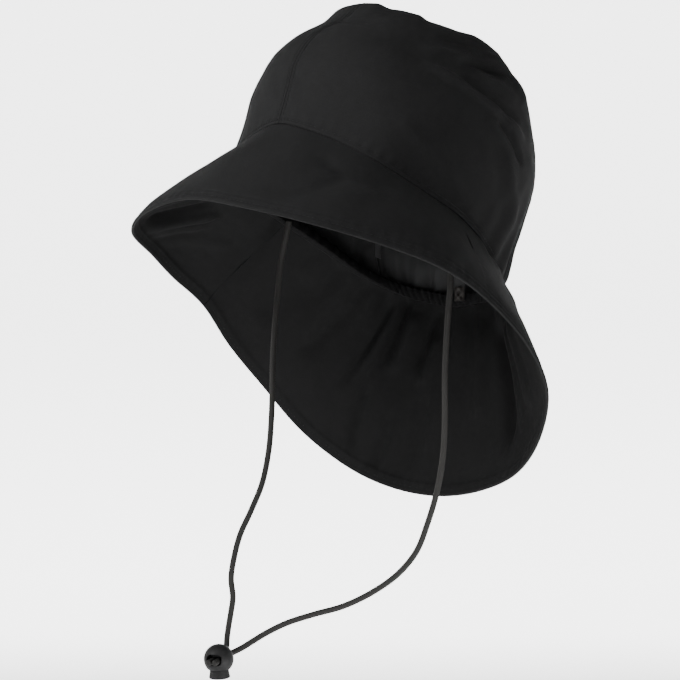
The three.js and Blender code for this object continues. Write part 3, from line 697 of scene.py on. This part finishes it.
def brim_panel(name, node, start, end, seed):
    """The brim or the flap, with its turned and stitched hem."""
    angles = np.arange(start, end + 0.01, 1)
    along = distances(rim_point(angles))
    d = steps_between(along[-1], EDGE_STEPS[:5], EDGE_STEPS[:5], PANEL_STEP)
    angle = np.interp(d, along, angles)
    length = np.linalg.norm(rim_point(angle) - seam_point(angle), axis=-1)
    share = (steps_between(length, EDGE_STEPS[:6], RIM_STEPS, PANEL_STEP) / length[:, None]).T
    share = np.concatenate([[-TUCK / length], share])
    angle = np.array(np.broadcast_to(angle, share.shape))
    across = per_degree(brim_base, angle, share)
    angle[:, 0] = start - OVERLAP / across[:, 0]
    angle[:, -1] = end + OVERLAP / across[:, -1]
    base = cloth_surface(*BRIM_FORM, angle, share)
    uv = cloth_uv(base)
    seam_off = share * length
    rim_off = (1 - share) * length
    side = np.maximum(0, np.minimum(angle - start, end - angle)) * per_degree(brim_base, angle, share)
    height = np.minimum(BRIM_ROLL["side"] * rolled(side), BRIM_ROLL["seam"] * rolled(seam_off))
    height += groove(rim_off, HEM_LINE, **HEM_DIP) + groove(rim_off, HEM_FOLD, **FOLD_DIP)
    height += groove(side, PANEL_LINE, **SIDE_DIP)
    height += pucker(np.interp(angle, angles, along), rim_off, seed, **HEM_PUCKER)
    waves = soft_noise(base, WAVE["brim"], seed) * smooth(seam_off / WAVE["fade"])
    dents = soft_noise(base, DENT["brim"], seed + 3) * smooth(seam_off / DENT["fade"])
    height += WAVE["height"] * waves * smooth(rim_off / WAVE["fade"])
    height += DENT["height"] * dents * smooth(rim_off / DENT["rim_fade"])
    thick = CLOTH + HEM_RISE["height"] * smooth((HEM_FOLD - rim_off) / HEM_RISE["reach"])
    thick += groove(rim_off, HEM_LINE, **INNER_DIP)
    outer, inner = cloth_sides(base, -1, height, thick)
    panel = sheet_mesh(name, outer[:, ::-1], inner[:, ::-1], uv[:, ::-1], ("top",))
    return dress(panel, SHELL_PAINT, node)


def tube(path, radius, sides, relief=None):
    """Points and faces of a closed tube along a path, and its places round and along."""
    path = np.asarray(path, float)
    way = unit(np.gradient(path, axis=0))
    side = np.zeros_like(path)
    start = np.cross(way[0], (0.3, 0.9, 0.2))
    side[0] = start / np.linalg.norm(start)
    for i in range(1, len(path)):
        turned = side[i - 1] - way[i] * (side[i - 1] @ way[i])
        side[i] = turned / np.linalg.norm(turned)
    other = np.cross(way, side)
    along = distances(path)
    turn = 2 * math.pi * np.arange(sides) / sides
    r = np.broadcast_to(np.asarray(radius, float), (len(path),))[:, None] * np.ones(sides)
    if relief is not None:
        r = r + relief(along[:, None], turn[None, :])
    points = (path[:, None] + side[:, None] * (r * np.cos(turn))[..., None]
              + other[:, None] * (r * np.sin(turn))[..., None])
    n = len(path)
    index = np.arange(n * sides).reshape(n, sides)
    following = np.roll(index, -1, axis=1)
    quads = loft(index[:-1], following[:-1], index[1:], following[1:]).tolist()
    quads += [index[0][::-1].tolist(), index[-1].tolist()]
    uv = np.stack(np.broadcast_arrays(turn[None, :] * np.mean(radius), along[:, None]), -1)
    return points.reshape(-1, 3), quads, uv.reshape(-1, 2)


def stitch_row(name, line, normals):
    """A row of sewn stitches that lie in the cloth along a line."""
    along = distances(line)
    points, faces, base = [], [], 0
    for begin in np.arange(STITCH["first"], along[-1] - STITCH["length"], STITCH["pitch"]):
        where = begin + STITCH["length"] * STITCH_SHAPE["along"]
        out = unit(sample(where, along, normals))
        path = sample(where, along, line) + out * (STITCH["lift"] + STITCH_SHAPE["out"])[:, None]
        stitch, quads, _ = tube(path, STITCH["radius"] * STITCH_SHAPE["thick"], STITCH["sides"])
        points.append(stitch)
        faces += [[base + i for i in quad] for quad in quads]
        base += len(stitch)
    return link(name, np.concatenate(points), faces)


# Materials

def shader_of(name, specular):
    paint = bpy.data.materials.new(name)
    paint.use_nodes = True
    shader = paint.node_tree.nodes["Principled BSDF"]
    shader.inputs["Specular IOR Level"].default_value = specular
    return paint, paint.node_tree, shader


def add_node(tree, kind, inputs=None, **settings):
    node = tree.nodes.new(kind)
    for key, value in settings.items():
        setattr(node, key, value)
    for key, value in (inputs or {}).items():
        if isinstance(value, bpy.types.NodeSocket):
            tree.links.new(value, node.inputs[key])
        else:
            node.inputs[key].default_value = value
    return node


def feed(tree, shader, inputs):
    for key, value in inputs.items():
        tree.links.new(value, shader.inputs[key])


def math_node(tree, operation, a, b=0.0):
    return add_node(tree, "ShaderNodeMath", {0: a, 1: b}, operation=operation).outputs[0]


def vector_node(tree, operation, inputs):
    return add_node(tree, "ShaderNodeVectorMath", inputs, operation=operation)


def noise_at(tree, scale, detail=2.0, rough=0.5):
    place = add_node(tree, "ShaderNodeTexCoord").outputs["Object"]
    return add_node(tree, "ShaderNodeTexNoise", {
        "Vector": place, "Scale": scale, "Detail": detail, "Roughness": rough,
    }).outputs["Fac"]


def spread(tree, value, low, high):
    return add_node(tree, "ShaderNodeMapRange", {
        "Value": value, "From Min": 0.25, "From Max": 0.75, "To Min": low, "To Max": high,
    }).outputs["Result"]


def blend(tree, factor, first, second):
    """A mix of two colours, each of them a colour's numbers or another node's output."""
    mix = add_node(tree, "ShaderNodeMix", {"Factor": factor}, data_type="RGBA")
    sockets = [i for i in mix.inputs if i.type == "RGBA"]
    for socket, colour in zip(sockets, (first, second)):
        if isinstance(colour, bpy.types.NodeSocket):
            tree.links.new(colour, socket)
        else:
            socket.default_value = (*colour, 1)
    return next(o for o in mix.outputs if o.type == "RGBA")


def weighted(tree, *parts):
    """The sum of some values, each times its weight."""
    total = math_node(tree, "MULTIPLY", *parts[0])
    for part in parts[1:]:
        total = math_node(tree, "ADD", total, math_node(tree, "MULTIPLY", *part))
    return total


def woven(name, colours, roughness, pitch, relief, specular, inner=None):
    """Fine plain weave along the cloth's own directions, with uneven yarns. inner is its inner side."""
    paint, tree, shader = shader_of(name, specular)
    uv = add_node(tree, "ShaderNodeUVMap", uv_map="cloth").outputs["UV"]
    parts = add_node(tree, "ShaderNodeSeparateXYZ", {0: uv})
    turns = 2 * math.pi * 10 / pitch
    over = math_node(tree, "SINE", math_node(tree, "MULTIPLY", parts.outputs["X"], turns))
    under = math_node(tree, "SINE", math_node(tree, "MULTIPLY", parts.outputs["Y"], turns))
    weave = math_node(tree, "MULTIPLY", over, under)
    grain = noise_at(tree, 1400, 3, 0.6)
    cloud = noise_at(tree, 28, 3, 0.55)
    yarn = add_node(tree, "ShaderNodeTexNoise", {
        "Vector": add_node(tree, "ShaderNodeMapping", {"Vector": uv, "Scale": (1.2, 22, 1)}).outputs[0],
        "Scale": 1.0, "Detail": 2.0,
    }).outputs["Fac"]
    shade = spread(tree, weighted(tree, (grain, 0.4), (cloud, 0.45), (yarn, 0.15)), 0, 1)
    colour = blend(tree, shade, *colours)
    rough = spread(tree, cloud, roughness - 0.07, roughness + 0.07)
    if inner:
        inside = add_node(tree, "ShaderNodeAttribute", attribute_name="inside").outputs["Fac"]
        colour = blend(tree, inside, colour, blend(tree, shade, *inner["colours"]))
        rough = math_node(tree, "SUBTRACT", rough, math_node(tree, "MULTIPLY", inside, inner["smoother"]))
        shine = math_node(tree, "MULTIPLY_ADD", inside, inner["shine"])
        shine.node.inputs[2].default_value = specular
        feed(tree, shader, {"Specular IOR Level": shine})
    surface = weighted(tree, (weave, 0.5), (grain, 0.9))
    bump = add_node(tree, "ShaderNodeBump", {"Height": surface, "Strength": relief, "Distance": 0.0003})
    crush = add_node(tree, "ShaderNodeBump", {
        "Height": noise_at(tree, 170, 3, 0.5), "Strength": 0.12, "Distance": 0.001, "Normal": bump.outputs[0],
    })
    feed(tree, shader, {"Base Color": colour, "Roughness": rough, "Normal": crush.outputs[0]})
    return paint


def moulded(name, colours, roughness, specular):
    """Moulded plastic with fine spark texture and slight wear."""
    paint, tree, shader = shader_of(name, specular)
    colour = blend(tree, spread(tree, noise_at(tree, 260, 4, 0.6), 0, 1), *colours)
    rough = spread(tree, noise_at(tree, 90, 3), roughness - 0.08, roughness + 0.1)
    sparks = noise_at(tree, 1500, 2)
    bump = add_node(tree, "ShaderNodeBump", {"Height": sparks, "Strength": 0.2, "Distance": 0.0002})
    feed(tree, shader, {"Base Color": colour, "Roughness": rough, "Normal": bump.outputs[0]})
    return paint


def dress(piece, paint, node=None, body="hat"):
    """Paints a piece, hangs it on the empty of the body that it rides, and hides the part of the node that it
    stands for.
    """
    piece.data.materials.clear()
    piece.data.materials.append(paint)
    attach(piece, body)
    if node:
        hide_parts(node)
    return piece


# Cords

def cord_path(places, step):
    """The centripetal curve through some places, at even steps."""
    points = np.array(places, float)
    points = np.vstack([2 * points[0] - points[1], points, 2 * points[-1] - points[-2]])
    out = []
    for i in range(1, len(points) - 2):
        p = points[i - 1:i + 3]
        d = np.sqrt(np.linalg.norm(np.diff(p, axis=0), axis=-1))
        first = (p[1] - p[0]) / d[0] - (p[2] - p[0]) / (d[0] + d[1]) + (p[2] - p[1]) / d[1]
        last = (p[2] - p[1]) / d[1] - (p[3] - p[1]) / (d[1] + d[2]) + (p[3] - p[2]) / d[2]
        t = np.linspace(0, 1, 24, endpoint=False)[:, None]
        out.append(cubic(t, p[1], first * d[1], p[2], last * d[1]))
    out.append(points[-2][None])
    dense = np.concatenate(out)
    along = distances(dense)
    return sample(np.linspace(0, along[-1], int(along[-1] / step) + 1), along, dense)


def lock_axes():
    up = Vector((0, 0, 1))
    up = (up - LOCK_HOLE * up.dot(LOCK_HOLE)).normalized()
    return LOCK_HOLE.cross(up).normalized(), LOCK_HOLE, up


def braid(along, turn):
    """Two sets of strands that cross on a round braid."""
    wind = 2 * math.pi * along / BRAID["pitch"]
    right = np.cos(BRAID["strands"] * turn + wind)
    left = np.cos(BRAID["strands"] * turn - wind)
    return BRAID["height"] * np.maximum(right, left) + BRAID["lift"]


def strand(name, route, aside):
    """One strand of the chin cord, through its own side of the lock's hole."""
    across, through, _ = lock_axes()
    places = route + [tuple(LOCK_CENTRE + through * along + across * aside) for along in CORD_PLACES]
    path = cord_path(places, CORD_STEP)
    radius = np.full(len(path), CORD / 2)
    radius[-len(CORD_END):] *= CORD_END
    points, faces, uv = tube(path, radius, 24, braid)
    piece = link(f"{name}_braid", points, faces, uv, 80)
    dress(piece, CORD_PAINT, name)


# Cord lock

def lathe(name, profile, sides):
    points, faces, starts = [], [], []
    turns = [2 * math.pi * k / sides for k in range(sides)]
    for r, z in profile:
        starts.append(len(points))
        points += [(r * math.cos(t), r * math.sin(t), z) for t in turns] if r else [(0, 0, z)]
    for i in range(len(profile) - 1):
        a, b = starts[i], starts[i + 1]
        for k in range(sides):
            n = (k + 1) % sides
            if profile[i][0] == 0:
                faces.append((a, b + k, b + n))
            elif profile[i + 1][0] == 0:
                faces.append((a + n, a + k, b))
            else:
                faces.append((a + k, b + k, b + n, a + n))
    return solid(name, points, faces)


def solid(name, points, faces):
    mesh = bpy.data.meshes.new(name)
    mesh.from_pydata(points, [], faces)
    mesh.update()
    return put(name, mesh)


def rounded_hole(hole, depth, sides=8):
    """A rounded bar along Y that cuts a hole."""
    corner = hole["corner"]
    x = hole["wide"] / 2 - corner
    low, high = hole["low"] + corner, hole["high"] - corner
    outline = []
    for cx, cz, start in ((x, low, -90), (x, high, 0), (-x, high, 90), (-x, low, 180)):
        for k in range(sides + 1):
            t = math.radians(start + 90 * k / sides)
            outline.append((cx + corner * math.cos(t), cz + corner * math.sin(t)))
    kept = [p for i, p in enumerate(outline) if math.dist(p, outline[i - 1]) > 1e-6]
    n = len(kept)
    points = [(px, -depth, pz) for px, pz in kept] + [(px, depth, pz) for px, pz in kept]
    faces = [tuple(range(n)), tuple(range(2 * n - 1, n - 1, -1))]
    faces += [(k, k + n, (k + 1) % n + n, (k + 1) % n) for k in range(n)]
    return solid("hole", points, faces)


def keep_result(piece):
    """Keeps what the modifiers give as a plain mesh."""
    bpy.context.view_layer.update()
    graph = bpy.context.evaluated_depsgraph_get()
    mesh = bpy.data.meshes.new_from_object(piece.evaluated_get(graph))
    piece.modifiers.clear()
    piece.data = mesh
    return mesh


def carve(piece, cutters):
    """Cuts the cutters out, rounds the edges a little and puts the result where the lock hangs."""
    for cutter in cutters:
        cut = piece.modifiers.new("cut", "BOOLEAN")
        cut.operation = "DIFFERENCE"
        cut.solver = "EXACT"
        cut.object = cutter
    keep_result(piece)
    for cutter in cutters:
        bpy.data.objects.remove(cutter)
    soften = piece.modifiers.new("soften", "BEVEL")
    soften.width = LOCK_EDGE["width"]
    soften.segments = LOCK_EDGE["segments"]
    soften.limit_method = "ANGLE"
    soften.angle_limit = math.radians(40)
    mesh = keep_result(piece)
    turn = Matrix(lock_axes()).transposed().to_4x4()
    mesh.transform(Matrix.Scale(MM, 4) @ Matrix.Translation(LOCK_CENTRE) @ turn)
    mesh.shade_smooth()
    mesh.set_sharp_from_angle(angle=math.radians(35))
    mesh.update()
    return piece


def drill(name, radius, top):
    """A round bar that cuts from far below up to its top."""
    return lathe(name, [(0, -BALL_REACH), (radius, -BALL_REACH), (radius, top), (0, top)], BORE_SIDES)


def lock_ball():
    radius, cut = BALL["radius"], BALL["cut"]
    turns = np.linspace(math.asin(cut / radius), math.pi / 2, 26)[:-1]
    profile = [(radius * math.cos(t), radius * math.sin(t)) for t in turns]
    ball = lathe("lock_ball", [(0, cut), *profile, (0, radius)], LOCK_SIDES)
    bore = drill("bore", BALL["bore"], BALL["bore_top"])
    mouth = drill("mouth", BALL["mouth"], BALL["mouth_top"])
    return carve(ball, [bore, mouth, rounded_hole(BALL_HOLE, BALL_REACH)])


def lock_plunger():
    plunger = lathe("lock_plunger", PLUNGER[::-1], LOCK_SIDES)
    return carve(plunger, [rounded_hole(PLUNGER_HOLE, PLUNGER_REACH)])


# Smaller cloth pieces

def casing():
    """The elastic in its casing: a soft flat ring, gathered at the back."""
    angle = np.linspace(0, 360, 721)[:-1]
    along = unit(seam_point(angle + 1) - seam_point(angle - 1))
    seam = seam_point(angle)
    upward = unit(crown_base(angle, BAND["wall"]) - seam)
    inward = unit(np.cross(upward, along))
    steps = distances(seam)
    pulled = smooth((from_the_front(angle) - BAND_PULL["start"]) / BAND_PULL["reach"])
    pulled = BAND_PULL["front"] + BAND_PULL["more"] * pulled
    middle = (BAND["outer"] + BAND["inner"]) / 2
    half = (BAND["inner"] - BAND["outer"]) / 2
    sides = BAND["sides"]
    grid = []
    for k in range(sides):
        t = 2 * math.pi * k / sides
        c = math.copysign(abs(math.cos(t)) ** BAND_BOXY["across"], math.cos(t))
        s = math.copysign(abs(math.sin(t)) ** BAND_BOXY["up"], math.sin(t))
        wave = sum(high * uneven(steps + lean * s, pitch, seed) for high, lean, pitch, seed in RUFFLES)
        wave = pulled * wave
        stitched = BAND_EDGE["depth"] * math.exp(-((abs(s) - BAND_EDGE["place"]) / BAND_EDGE["width"]) ** 2)
        inset = middle + half * c + max(c, 0) * (RUFFLE_PUSH["inward"] * wave - stitched)
        up = s * (BAND["height"] / 2 + RUFFLE_PUSH["up"] * wave)
        grid.append(seam + inward * inset[:, None] + upward * up[:, None])
    points = np.stack(grid, 1)
    index = np.arange(len(angle) * sides).reshape(-1, sides)
    ahead = np.roll(index, -1, axis=0)
    faces = loft(index, np.roll(index, -1, axis=1), ahead, np.roll(ahead, -1, axis=1))
    uv = np.stack(np.broadcast_arrays(steps[:, None], 1.4 * np.arange(sides)[None, :]), -1).reshape(-1, 2)
    return link("casing", points.reshape(-1, 3), faces.tolist(), uv)


def seam_tape(name, angle):
    """Tape bonded over a seam inside the crown."""
    share = np.linspace(TAPE["start"], TAPE["end"], 90)
    off = np.linspace(-TAPE["width"] / 2, TAPE["width"] / 2, 9)
    a = angle + off[None, :] / per_degree(crown_base, angle, share)[:, None]
    s = np.broadcast_to(share[:, None], a.shape)
    base = cloth_surface(*CROWN_FORM, a, s)
    normal = grid_normals(base, 1)
    uv = cloth_uv(base)
    edge = TAPE["width"] / 2 - np.abs(off)[None, :]
    raised = TAPE["thick"] * np.minimum(1, TAPE_EDGE["low"] + edge / TAPE_EDGE["width"])
    raised = raised + TAPE_RIDGE["height"] * np.exp(-(off / TAPE_RIDGE["width"]) ** 2)[None, :]
    raised = raised + TAPE_RIDGE["uneven"] * uneven(uv[..., 1], TAPE_RIDGE["pitch"], 1.0)
    outer = base - normal * TAPE["inset"]
    inner = outer - normal * raised[..., None]
    return sheet_mesh(name, outer, inner, uv, ())


def label_sheet(name, low, high, forward, thick, crossed):
    """A part of the small bare label, from one share of its height to another."""
    rows, columns = 26, 13
    v = np.linspace(low, high, rows)[:, None] * np.ones(columns)
    u = np.linspace(-0.5, 0.5, columns)[None, :] * np.ones((rows, 1))
    x = LABEL["side"] + u * LABEL["wide"]
    z = LABEL["base"] + v * LABEL["tall"]
    y = LABEL["back"] - forward + 0.5 * np.sin(v * 3.0) - 0.9 * v * v + 0.5 * u * v
    swing = THREADS["swing"] * np.cos(1.5 * math.pi * (v - low) / (high - low))
    for way in (-1, 1):
        y = y - crossed * np.exp(-((u * LABEL["wide"] - way * swing) / THREADS["width"]) ** 2)
    face = np.stack([x, y, z], -1)
    normal = grid_normals(face, 1)
    uv = cloth_uv(face)
    half = normal * thick / 2
    return sheet_mesh(name, face + half, face - half, uv, ("top", "left", "right"))


# Topstitching

def line_on(base, sign, folds, angles, shares, lift):
    """Points along a line of a surface, with the way out there."""
    normals = outward_at(base, sign, angles, shares)
    return cloth_surface(base, sign, folds, angles, shares) + normals * lift, normals


def crown_low_line(start, end):
    angles = np.arange(start, end + 0.01, LINE_STEP["crown"])
    shares = np.full(angles.shape, CROWN_LINE / CROWN_LENGTH_LOW)
    return line_on(*CROWN_FORM, angles, shares, -SUNK["row"])


def hem_line(start, end, inside):
    angles = np.arange(start, end + 0.01, LINE_STEP["hem"])
    length = np.linalg.norm(rim_point(angles) - seam_point(angles), axis=-1)
    points, normals = line_on(*BRIM_FORM, angles, 1 - HEM_LINE / length, -SUNK["row"])
    if inside:
        return points - normals * (CLOTH + 0.05), -normals
    return points, normals


def beside_seam(form, angle, side, end, count):
    """A line beside a seam, from near the head opening to an end share."""
    shares = np.linspace(0.03, end, count)
    angles = angle + side * PANEL_LINE / per_degree(form[0], angle, shares)
    return line_on(*form, angles, shares, -SUNK["seam"])


# Building

set_camera()
set_stage()

# After the colours: roughness, pitch of the weave in millimetres, its relief, specular
SHELL_PAINT = woven(
    "shell_cloth", SHELL, 0.78, 0.75, 0.4, 0.1, dict(colours=COATING, smoother=0.05, shine=0.0))
# The crown's cloth has that painted light in the colour of its inner side
CROWN_PAINT_PAINTED_LIGHT_INSIDE = woven(
    "crown_cloth_painted_light_inside", SHELL, 0.78, 0.75, 0.4, 0.1, dict(colours=CROWN_COATING_PAINTED_LIGHT, smoother=0.1, shine=0.1))
BAND_PAINT = woven("casing_cloth", CASING, 0.8, 0.9, 0.5, 0.1)
TAPE_PAINT = woven("tape_cloth", TAPES, 0.5, 0.6, 0.2, 0.4)
LABEL_PAINT = woven("label_cloth", TAB, 0.6, 0.5, 0.3, 0.2)
LOOP_PAINT = woven("label_loop_cloth", LOOP, 0.6, 0.5, 0.3, 0.2)
CORD_PAINT = woven("cord_yarn", YARN, 0.7, 0.8, 0.4, 0.2)
THREAD_PAINT = moulded("sewing_thread", THREAD, 0.6, 0.2)
LOCK_PAINT = moulded("lock_plastic", PLASTIC, 0.5, 0.12)

ball = dress(lock_ball(), LOCK_PAINT, "cord_lock_body")
plunger = dress(lock_plunger(), LOCK_PAINT, "cord_lock_plunger", "plunger")
strand("chin_cord_left", LEFT_STRAND, -CORD_SPREAD)
strand("chin_cord_right", RIGHT_STRAND, CORD_SPREAD)

crown_left = crown_panel("crown_left_cloth", "crown_left", 0, BACK_SEAM, 1.0)
crown_right = crown_panel("crown_right_cloth", "crown_right", -BACK_SEAM, 0, 2.0)
crown_back = crown_panel("crown_back_cloth", "crown_back", BACK_SEAM, 360 - BACK_SEAM, 3.0)
brim = brim_panel("brim_cloth", "front_brim", -SIDE_SEAM, SIDE_SEAM, 4.0)
flap = brim_panel("flap_cloth", "neck_flap", SIDE_SEAM, 360 - SIDE_SEAM, 5.0)
dress(casing(), BAND_PAINT, "sweatband")
dress(seam_tape("tape_left", BACK_SEAM), TAPE_PAINT, "seam_tape_left")
dress(seam_tape("tape_right", -BACK_SEAM), TAPE_PAINT, "seam_tape_right")
dress(label_sheet("label_tab", 0, 1, 0, LABEL["thick"], 0), LABEL_PAINT, "label")
dress(label_sheet("label_end", **LABEL_END), LOOP_PAINT)

STITCH_LINES = {
    "stitches_crown_low": crown_low_line(-180, 180),
    "stitches_front_left": beside_seam(CROWN_FORM, 0, 1, *CROWN_ROW),
    "stitches_front_right": beside_seam(CROWN_FORM, 0, -1, *CROWN_ROW),
    "stitches_back_left": beside_seam(CROWN_FORM, BACK_SEAM, -1, *CROWN_ROW),
    "stitches_back_right": beside_seam(CROWN_FORM, -BACK_SEAM, 1, *CROWN_ROW),
    "stitches_brim_hem": hem_line(-SIDE_SEAM, SIDE_SEAM, False),
    "stitches_brim_hem_under": hem_line(-SIDE_SEAM, SIDE_SEAM, True),
    "stitches_flap_hem": hem_line(SIDE_SEAM, 360 - SIDE_SEAM, False),
    "stitches_flap_hem_under": hem_line(SIDE_SEAM, 360 - SIDE_SEAM, True),
    "stitches_side_left": beside_seam(BRIM_FORM, SIDE_SEAM, -1, *BRIM_ROW),
    "stitches_side_right": beside_seam(BRIM_FORM, -SIDE_SEAM, 1, *BRIM_ROW),
}
for stitch_name, (stitch_points, stitch_normals) in STITCH_LINES.items():
    dress(stitch_row(stitch_name, stitch_points, stitch_normals), THREAD_PAINT)
